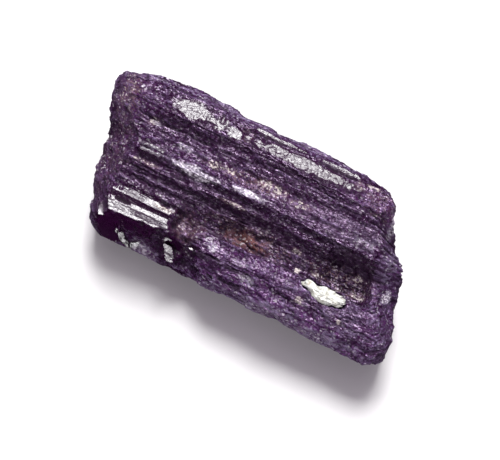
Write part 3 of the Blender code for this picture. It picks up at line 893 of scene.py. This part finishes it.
    smooth_faces: tuple[Patch, ...] = each(
        Patch,
        (-10, -5.4, 4.1, 1.95, 1), (-8.9, 5.1, 2.35, 1, 1), (-5.9, 4.95, 0.7, 0.85, 1),
        (-4.2, 4.7, 1, 0.6, 1), (3.6, 4.95, 6.3, 0.72, 1), (0.2, 6.12, 2.9, 0.26, 1),
        (7.2, 6.12, 2.4, 0.26, 1), (-6.6, -0.2, 2.6, 0.45, 0.45), (0.1, 0.1, 2.3, 0.35, 0.45),
        (-5.6, -7, 1.2, 1.2, 1), (-12.6, -7.7, 1.5, 1, 1),
    )
    cuts: tuple[Cut, ...] = each(
        Cut,
        (-12, -4.62, -8, -4.6, 0.05, 0.05), (-2.8, 5.82, 9.4, 5.84, 0.12, 0.06),
        (0, 3.25, 13.4, 3.22, 0.14, 0.07), (-3, -6.58, 3.2, -6.76, 0.32, 0.1),
        (3, -6.75, 3.6, -7.4, 0.14, 0.07), (-1.2, -8, 3.4, -7.9, 0.26, 0.09),
        (7.9, 4.2, 7.8, 5.7, 0.12, 0.06), (-7.4, 4.2, -7.2, 5.8, 0.12, 0.06),
        (10.6, 1, 10.7, 3.2, 0.1, 0.06),
    )
    # Cracks that are only painted: shade, partly grime, drawn into the colour along them.
    seams: tuple[Cut, ...] = each(
        Cut,
        (-13.6, -5.78, -10.4, -5.7, 1, 0.05), (-13.4, -6.1, -10.6, -6.02, 1, 0.045),
        (-13.3, -6.38, -10.8, -6.32, 0.9, 0.045), (-10.9, -5.7, -6.4, -5.62, 1, 0.055),
        (-10.7, -5.94, -7.4, -5.88, 0.8, 0.045), (-10.6, -6.22, -5.9, -6.06, 1, 0.06),
        (-12.4, -4.34, -9.6, -4.42, 0.8, 0.04), (-9, -4.5, -7.4, -4.48, 0.6, 0.035),
        (-10.7, -5.9, -10.8, -6.6, 0.7, 0.035), (-8.9, -6.2, -8.8, -6.6, 0.9, 0.04),
        (-6.6, -6.98, -5.3, -7.06, 1, 0.06), (-6.3, -7.66, -4.6, -7.76, 1, 0.05),
        (-3, -6.6, 3.4, -6.78, 1.4, 0.14), (-1.2, -8, 3.4, -7.92, 1.4, 0.12),
        (3.3, -6.85, 3.7, -7.5, 1.2, 0.09),
    )
    dents: tuple[Patch, ...] = each(
        Patch,
        (-2.9, 5.2, 0.6, 0.9, 0.16), (-6.35, -5.35, 0.35, 0.26, 0.25), (-11.9, -5.32, 0.8, 0.13, 0.22),
        (-9, -6.62, 0.3, 0.14, 0.12), (-7.2, -6.5, 0.3, 0.12, 0.12), (-5.9, 5.4, 0.25, 0.5, 0.1),
    )
    facets: tuple[Facet, ...] = each(
        Facet,
        (-5.6, -7.5, 1.2, 0.5, -58, 7.1, FLASH_X, FLASH_Y),
        (-13.75, -6.6, 0.85, 0.34, -62, 7.6, -0.04, -0.13),
        (-11.5, -7.45, 0.28, 0.22, 0, 5.3, FLASH_X, FLASH_Y),
        (-10.85, -7.8, 0.65, 0.34, -52, 4.75, FLASH_X, FLASH_Y),
        (-10.25, -8.06, 0.6, 0.28, -4, 4.45, FLASH_X, FLASH_Y),
        (-9.45, -7.85, 0.55, 0.28, 34, 4.7, FLASH_X, FLASH_Y),
        (-11.1, 0.25, 1.35, 0.2, 0, 11.92, -0.03, 0.07), (-11.2, -0.3, 1.25, 0.2, 0, 11.72, -0.03, 0.05),
        (-0.3, 6.22, 2.4, 0.15, 0, 13, -0.02, -0.12), (6.7, 6.22, 2.3, 0.15, 0, 12.92, -0.02, -0.12),
        (-3.75, -6.5, 0.55, 0.16, 8, 7.85, -0.01, -0.13),
    )
    socket: tuple[Patch, ...] = each(Patch, (11.05, -5.17, 1.82, 0.8, 1), (8.95, -4.85, 0.95, 0.5, 1))
    socket_depth: float = 0.95
    shrink: float = 0.12
    painted_over: float = 5.9
    carved_over: float = 7.0
    fade: float = 0.85
    fading: tuple[str, ...] = (
        "band_foot", "upper_shelf_rear", "upper_shelf_groove", "upper_shelf_front", "upper_shelf_foot",
        "third_front", "fourth_front",
    )
    left: BrokenEnd = field(
        default_factory=lambda: BrokenEnd(
            knee_x=((-8.4, -12.6), (-7.4, -14.7), (-5.75, -15.5), (-3.6, -16.2), (1.2, -16.9), (3.1, -17.7),
                (6.2, -18.2), (8, -17.7)),
            knee_z=((-8, 5.5), (-4, 5.8), (1, 6.2), (5, 9.6)),
            lean_over=0.72, lean_under=0.14, seed=5,
        )
    )
    right: BrokenEnd = field(
        default_factory=lambda: BrokenEnd(
            knee_x=((-9.4, 16.4), (-8.6, 17.6), (-7.5, 18.2), (-6.4, 18.4), (-3.6, 17.6), (-1.7, 17.2),
                (0.5, 16.3), (1.3, 15.9), (2.2, 14.9), (3, 14.3), (4.3, 13.6), (5.7, 12.8), (7.5, 11.8)),
            knee_z=((-2, 6.5), (0.6, 9.4), (2.2, 9.4), (4.2, 11.6), (7, 12.5)),
            lean_over=-0.85, lean_under=-0.12, seed=9, ribs=0.28,
        )
    )

    def stations(self) -> Array:
        """The stations between the ends: each break, and even steps between them.

        Returns:
            Their places along X.
        """
        runs = [
            np.linspace(start, stop, math.ceil((stop - start) / self.station_step) + 1)[:-1]
            for start, stop in zip(self.breaks, self.breaks[1:])
        ]
        return np.concatenate(runs + [[self.breaks[-1]]])

    def edge_lines(self) -> Array:
        """The edges as (edge, station, xyz). Past the core, each runs to its own place on its end.

        An edge wobbles: y and z = the table's + noise in two sizes along X, calmer on the smooth block.

        Returns:
            The lines of the edges, with the low steps of the top faded.
        """
        core, far = self.stations(), self.end_stations + 1
        jitter = np.random.default_rng(self.left.seed).uniform(-1, 1, (len(EDGES), 2)) * self.ragged
        block_start, block_stop, block_rear = self.calm_block
        lines = []
        for number, (points, (ragged_left, ragged_right)) in enumerate(zip(EDGES.values(), jitter)):
            x, y, z = np.array(points, float).T
            first = self.left.plane(y[0], z[0]) + ragged_left
            last = self.right.plane(y[-1], z[-1]) + ragged_right
            start, stop = np.linspace(first, core[0], far)[:-1], np.linspace(core[-1], last, far)[1:]
            at = np.concatenate([start, core, stop])
            row, side, lift = np.full(at.shape, float(number)), np.interp(at, x, y), np.interp(at, x, z)
            on_block = (at > block_start) & (at < block_stop) & (y[0] < block_rear)
            calm = np.where(on_block, 0.3, 1.0) * (z[0] > 0.1)
            for (height, side_length, lift_length), seed in zip(self.wobble, (71, 72)):
                side += calm * height * lattice(row, at / side_length, seed, no_blend)
                lift += calm * height * lattice(row, at / lift_length, seed + 2, no_blend)
            lines.append(np.stack([at, side, lift], axis=1))
        return self.faded(np.array(lines))

    def faded(self, lines: Array) -> Array:
        """Lets the low steps of the top fade out and in again along the crystal.

        Height = the edge's own, going over to the one between its two neighbours by a share of lattice noise.

        Args:
            lines: The edges as (edge, station, xyz), which are changed in place.

        Returns:
            The edges.
        """
        for own in map(list(EDGES).index, self.fading):
            before, edge, after = lines[own - 1 : own + 2]
            part = (edge[:, 1] - before[:, 1]) / (after[:, 1] - before[:, 1])
            between = before[:, 2] + (after[:, 2] - before[:, 2]) * np.clip(part, 0, 1)
            share = self.fade * smooth(0.5 + 0.9 * lattice(edge[:, 0] / 3.2, edge[:, 0] * 0 + own, 77))
            edge[:, 2] += (between - edge[:, 2]) * share
        return lines

    def face_lines(self, edges: Array) -> Array:
        """Lines spread evenly between each edge and the next, closest together on the strips and on the top.

        Args:
            edges: The edges as (edge, station, xyz).

        Returns:
            The lines as (line, station, xyz).
        """
        following = np.roll(edges, -1, axis=0)
        width = np.linalg.norm((following - edges)[:, :, 1:], axis=2).mean(axis=1)
        names = list(EDGES)
        density = np.full(len(edges), self.back_lines_per_mm)
        density[names.index("ridge_rear") : names.index("front_wide")] = self.top_lines_per_mm
        density[names.index("narrow_strip_foot")] = self.strip_lines_per_mm
        density[-1] = self.base_lines_per_mm
        counts = np.maximum(1, np.round(width * density)).astype(int)
        edge = np.repeat(np.arange(len(edges)), counts)
        step = np.arange(len(edge)) - np.repeat(np.cumsum(counts) - counts, counts)
        share = (step / counts[edge])[:, None, None]
        return edges[edge] * (1 - share) + following[edge] * share

    def outward(self, lines: Array) -> Array:
        """The way out of the surface in the plane of each ring: the ring's run turned a quarter turn.

        Args:
            lines: The lines as (line, station, xyz).

        Returns:
            Unit ways as (line, station, yz).
        """
        run = np.roll(lines, -2, axis=0)[:, :, 1:] - np.roll(lines, 2, axis=0)[:, :, 1:]
        way = np.stack([run[..., 1], -run[..., 0]], axis=-1)
        way = way + np.roll(way, 1, axis=0) + np.roll(way, -1, axis=0)
        return way / np.maximum(np.linalg.norm(way, axis=-1, keepdims=True), 1e-9)

    def masks(self, points: Array) -> Masks:
        """What the surface is like: patches whose edges wander by lattice noise in two sizes.

        Args:
            points: The points as (..., xyz).

        Returns:
            For each name, a number from 0 to 1 for each point.
        """
        x, y, z = points[..., 0], points[..., 1], points[..., 2]
        wander = 0.35 * lattice(x / 0.5, y / 0.5 + z / 0.7, 91)
        wander += 0.2 * lattice(x / 0.2, y / 0.2 + z / 0.3, 92)
        high = smooth(z - 3.2)
        shown = 1 - 0.6 * smooth((9.5 - z) / 1.5) * smooth((y - 6.4) / 0.4)
        polish = spread(self.smooth_faces, points, wander * 0.6, 0.2) * high
        # Of these, the haze is partly painted light, the sheen is painted, and the shade patches paint shade.
        return {
            "polish": polish,
            "crush": spread(self.crushed, points, wander) * high * (1 - polish),
            "haze_and_painted_light": spread(self.haze_and_painted_light_patches, points, wander, 0.6) * shown,
            "painted_sheen": spread(self.painted_sheen_patches, points, wander) * shown,
            "pits": spread(self.pitted, points, 0.0),
            "painted_shade": spread(self.painted_shade_patches, points, wander, 0.2) * (1 - polish),
            "rust": spread(self.rusty, points, wander) * high,
            "crust": spread(self.crusted, points, wander) * high,
        }

    def weather(self, lines: Array) -> tuple[Array, Masks]:
        """Moves the lines away from the axis, out of the surface, and down in the grain's socket.

        Away from the axis = splinters + lumps + rubble. Out of the surface = plates + strands - cuts - dents.

        Args:
            lines: The plain loft as (line, station, xyz).

        Returns:
            The weathered lines and the masks of their points.
        """
        steps = np.linalg.norm(np.diff(lines[:, :, 1:].mean(axis=1), axis=0), axis=1)
        around = np.concatenate([[0], np.cumsum(steps)])[:, None] + 0 * lines[..., 0]
        x, y, z = lines[..., 0], lines[..., 1], lines[..., 2]
        masks = self.masks(lines)
        rough = np.clip(z / 2, 0, 1) * (1 - 0.92 * masks["polish"])
        ledge = smooth((-4.3 - y) / 0.5) * smooth((x + 3.2) / 0.6) * smooth(z - 3.5)
        broken = np.clip(ledge * 0.8 + masks["crush"], 0, 1)

        height, width, length = self.splinter
        row = np.floor(around / width)
        coarse = height * lattice(row, x / length + 0.37 * row, 21, no_blend, late_blend)
        coarse += self.lump[0] * lattice(around / self.lump[1], x / self.lump[1], 33)
        coarse *= rough * (1 - 0.5 * ledge)
        rubble = spread(self.rubble, lines, 0.0) * (z > 5.5) * (1 - masks["polish"])
        coarse += rubble * lattice(around / self.rubble_size, x / self.rubble_size, 12)
        away = np.stack([y / 9, (z - 5) / 6], axis=-1)
        away /= np.linalg.norm(away, axis=-1, keepdims=True)

        drift = 0.5 * lattice(x / 3, around / 2, 44)
        height, width, length = self.strands
        fine = height * lattice(around / width + drift, x / length, 53) * (1 - 0.6 * broken) - self.shrink
        for layer in self.plate_layers:
            share = layer.height * (layer.whole + (layer.crushed - layer.whole) * broken)
            across = (around + layer.drift * drift) / layer.width
            fine += share * plates(x / layer.length, across, layer.seed, layer.tilt)
        nicked = 0.3 * lattice(x / 0.35, y / 0.35, 62)
        sunk = carved(self.cuts, lines) + spread(self.dents, lines, nicked, 0.2)
        fine = fine * rough - sunk * (z > self.carved_over)

        moved = lines.copy()
        moved[..., 1:] += away * coarse[..., None] + self.outward(lines) * fine[..., None]
        moved[..., 2] -= self.socket_depth * spread(self.socket, lines, 0.0, 0.08) * (z > self.carved_over)
        return moved, masks

    def build(self) -> tuple[Array, list[list[int]], Masks]:
        """The whole skin: the weathered loft between two closed ends, cleaved to its facets.

        The crease shade mask, how far the skin lies under its neighbours, and the seams paint shade, partly
        grime, into hollows and cracks. The edge highlight mask, how far it lies over them, paints a highlight
        along the lips.

        Returns:
            The points, the corners of each face, and the masks of the points.
        """
        lines, loft_masks = self.weather(self.face_lines(self.edge_lines()))
        at = np.arange(len(lines))[:, None]
        nicks = self.nick * lattice(at * 0.37, at * 0.0, 81)
        lines[:, :1, 0] += nicks
        lines[:, -1:, 0] += nicks
        left, right = self.left.close(lines[:, 0]), self.right.close(lines[:, -1])
        rows = np.concatenate([left[-2::-1], lines.transpose(1, 0, 2), right[:-1]])
        rows[..., 2], cleaved = cleave(self.facets, rows)

        masks = self.masks(rows)
        core = slice(self.left.rings - 1, self.left.rings - 1 + lines.shape[1])
        matte, polish = np.ones_like(cleaved), np.zeros_like(cleaved)
        matte[core], polish[core] = 0, loft_masks["polish"].T
        # The hollows, and the seams above the painted height, get painted shade, partly grime.
        sunk = hollowness(rows, 2)
        seams = carved(self.seams, rows) * (rows[..., 2] > self.painted_over)
        masks.update(
            polish=np.maximum(polish, cleaved),
            hollow=np.maximum(smooth((sunk - 0.03) / 0.10), seams),
            # Painted highlight along the lips, where the skin stands over its neighbours.
            lip=smooth((-sunk - 0.03) / 0.08),
            matte=matte,
            cleaved=cleaved,
        )
        points = np.concatenate([rows.reshape(-1, 3), left[-1, :1], right[-1, :1]])
        flat = {name: np.concatenate([mask.reshape(-1), [0, 0]]) for name, mask in masks.items()}
        return points, closed_faces(*cleaved.shape), flat

    def dress(self, finish: TourmalineFinish) -> bpy.types.Object:
        """Makes the skin a piece that stands where the CAD crystal does, and gives it its finish.

        Args:
            finish: The crystal's finish.

        Returns:
            The piece.
        """
        points, faces, masks = self.build()
        piece = new_piece("crystal_skin", (points + self.origin) * MM, faces, masks, finish.make())
        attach(piece, "root")
        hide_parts("tourmaline_crystal")
        return piece


@dataclass
class Grain:
    """The pale grain in the ledge: a long lens with a waist between its small left lobe and its large one."""

    half_size: Vec = (2.35, 0.74, 0.52)
    turn: float = math.radians(3.0)
    waist: Vec = (-1.1, 0.5, 0.28)
    bend: float = 0.36
    sag: float = 0.12
    around: int = 96
    rows: int = 119

    def build(self) -> tuple[Array, list[list[int]]]:
        """The lens as a ball on a grid of two angles: half size x unit ball x waist x roughness.

        Its left lobe is bent back, and the front of its right lobe sags forward.

        Returns:
            The points and the corners of each face.
        """
        turn = np.linspace(0, 2 * math.pi, self.around, endpoint=False)
        rise = np.linspace(0, math.pi, self.rows + 2)[1:-1, None]
        girth = np.sin(rise)
        unit = np.stack([-np.cos(rise) + 0 * turn, girth * np.cos(turn), girth * np.sin(turn)], -1)
        unit = np.concatenate([unit.reshape(-1, 3), [[-1, 0, 0], [1, 0, 0]]])
        at, width, depth = self.waist
        x = unit[:, 0] * self.half_size[0]
        waist = 1 - depth * np.exp(-(((x - at) / width) ** 2))
        side = unit[:, 1] * 3 + unit[:, 2] * 2 + 9
        rough = 1 + 0.09 * lattice(unit[:, 0] * 4 + 9, side, 4)
        rough += 0.07 * plates(x / 0.55 + 9, side / 0.5, 6) + 0.03 * plates(x / 0.25 + 9, side / 0.24, 7)
        points = unit * np.array(self.half_size) * rough[:, None]
        points[:, 1:] *= waist[:, None]
        points[:, 1] += self.bend * smooth(at + 0.5 - x) - self.sag * np.clip(-unit[:, 1], 0, 1) * (x > at)
        cos, sin = math.cos(self.turn), math.sin(self.turn)
        points[:, :2] = points[:, :2] @ np.array([[cos, sin], [-sin, cos]])
        return points, closed_faces(self.rows, self.around)

    def dress(self, finish: GrainFinish) -> bpy.types.Object:
        """Makes the grain a piece where the CAD grain sits, and gives it its finish.

        Args:
            finish: The grain's finish.

        Returns:
            The piece.
        """
        points, faces = self.build()
        low, high = (np.array(corner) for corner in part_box("pale_grain"))
        shift = (low + high) / 2 - (points.min(axis=0) + points.max(axis=0)) / 2 * MM
        piece = new_piece("grain_skin", points * MM + shift, faces, {}, finish.make())
        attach(piece, "root")
        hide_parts("pale_grain")
        return piece


# ---- The studio ----


class View(Enum):
    """The camera's own axes in the row frame."""

    RIGHT = (0.894, 0.448, 0.0)
    BACK = (0.138, -0.276, 0.951)


@dataclass
class Lamp:
    """A square soft light: where it stands as seen from the crystal, its width and its strength."""

    name: str
    direction: Vec
    distance: float
    size: float
    power: float

    def hang(self, target: Vector) -> None:
        """Hangs the light so that it faces the target.

        Args:
            target: The point that it faces, in metres.
        """
        light = bpy.data.lights.new(self.name, "AREA")
        light.energy, light.size = self.power, self.size
        lamp = bpy.data.objects.new(self.name, light)
        way = Vector(self.direction).normalized()
        lamp.location = target + way * self.distance
        lamp.rotation_euler = (-way).to_track_quat("-Z", "Y").to_euler()
        bpy.context.scene.collection.objects.link(lamp)


@dataclass
class Studio:
    """The floor, the lights and the camera."""

    target: Vec = (0.564, -1.44, 6.75)
    distance: float = 0.23
    view_width: float = 0.0505
    sensor: float = 36.0
    floor_size: float = 6.0
    tent_edge: tuple[float, float] = (-0.02, 0.35)
    tent_low: Colour = (0.014, 0.004, 0.012, 1)
    tent_high: Colour = (0.205, 0.172, 0.215, 1)
    lamps: tuple[Lamp, ...] = (
        Lamp("key_light", (-0.138, 0.493, 0.859), 2.0, 0.80, 56.0),
        Lamp("overhead_light", (-0.10, 0.42, 0.90), 2.3, 2.2, 10.0),
        Lamp("front_light", (0.10, -0.80, 0.59), 2.2, 0.4, 10.5),
    )

    def camera(self) -> None:
        """Stands the camera where it sees the crystal's top and a little of its front."""
        right, back = (Vector(axis.value).normalized() for axis in (View.RIGHT, View.BACK))
        up = back.cross(right)
        lens = bpy.data.cameras.new("camera")
        lens.sensor_width, lens.lens = self.sensor, self.sensor * self.distance / self.view_width
        lens.clip_start = 0.005
        camera = bpy.data.objects.new("camera", lens)
        at = Vector(self.target) * MM + back * self.distance
        camera.matrix_world = Matrix([(right[k], up[k], back[k], at[k]) for k in range(3)] + [(0, 0, 0, 1)])
        bpy.context.scene.collection.objects.link(camera)
        bpy.context.scene.camera = camera

    def floor(self, finish: FloorFinish) -> None:
        """Lays the floor under the crystal.

        Args:
            finish: The floor's finish.
        """
        half = self.floor_size / 2
        corners = np.array([[-half, -half, 0], [half, -half, 0], [half, half, 0], [-half, half, 0]])
        floor = new_piece("floor", corners, [[0, 1, 2, 3]], {}, finish.make())
        floor.visible_glossy = False

    def light(self) -> None:
        """Hangs the lamps inside a tent that is pale above and dark below the floor."""
        for lamp in self.lamps:
            lamp.hang(Vector(self.target) * MM)
        sheet = NodeSheet(bpy.data.worlds.new("tent"))
        way = sheet.add("SeparateXYZ", None, {0: sheet.add("TexCoord").outputs["Generated"]})
        height = Value(sheet, way.outputs["Z"]).rise(*self.tent_edge)
        pale = sheet.mix(self.tent_low, self.tent_high, height)
        sheet.feed(sheet.tree.nodes["Background"], {"Color": pale})
        bpy.context.scene.world = sheet.owner
        bpy.context.scene.view_settings.view_transform = "Standard"


def main() -> None:
    """Builds the pieces in order and reports each one."""
    logging.basicConfig(level=logging.INFO, format="%(name)s: %(message)s")
    for piece in (Crystal().dress(TourmalineFinish()), Grain().dress(GrainFinish())):
        log.info("%s: %d points, %d faces", piece.name, len(piece.data.vertices), len(piece.data.polygons))
    studio = Studio()
    studio.floor(FloorFinish())
    studio.light()
    studio.camera()
    log.info("studio: floor, %d lamp(s) and camera", len(studio.lamps))


if __name__ == "__main__":
    main()
